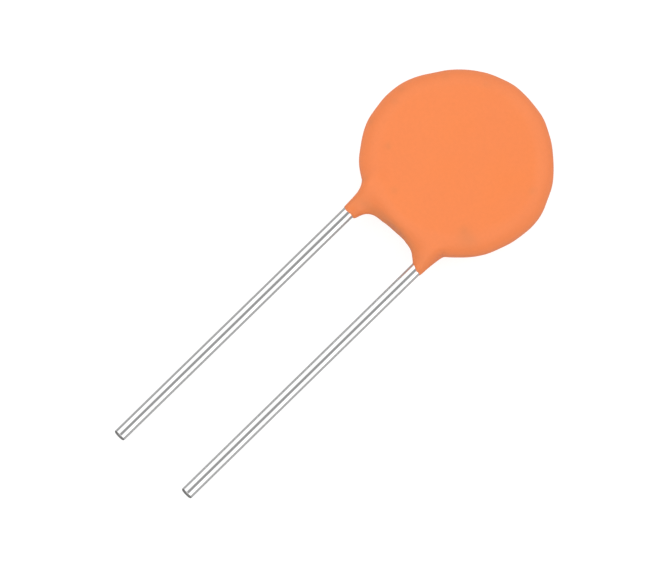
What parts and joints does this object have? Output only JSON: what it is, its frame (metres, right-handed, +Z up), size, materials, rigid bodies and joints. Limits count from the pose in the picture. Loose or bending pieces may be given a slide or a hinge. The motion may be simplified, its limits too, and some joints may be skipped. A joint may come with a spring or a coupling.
{
  "type": "ceramic disc capacitor",
  "caption": "Round dip-coated ceramic disc capacitor with two straight parallel wire leads, cranked inside onto either face of the disc, for fitting through a circuit board.",
  "frame": {"origin": "centre of the footprint, on the surface that the part lies on", "axes": "+Z up; the leads run towards -Y and slope down to their tips; X runs across the two leads; the part lies on its lower face and on the lead tips"},
  "size_m": [0.011, 0.0298, 0.0036],
  "materials": {
    "orange_coating": "satin orange dip coating, faintly mottled",
    "fired_ceramic": "unglazed buff ceramic",
    "fired_silver": "matt fired silver",
    "solder": "bright smooth solder",
    "tinned_wire": "bright tinned steel wire, drawn lengthwise"
  },
  "bodies": {
    "root": {"coating": "orange_coating", "ceramic_disc": "fired_ceramic", "front_electrode": "fired_silver", "back_electrode": "fired_silver", "front_joint": "solder", "back_joint": "solder", "left_lead": "tinned_wire", "right_lead": "tinned_wire"}
  },
  "joints": []
}
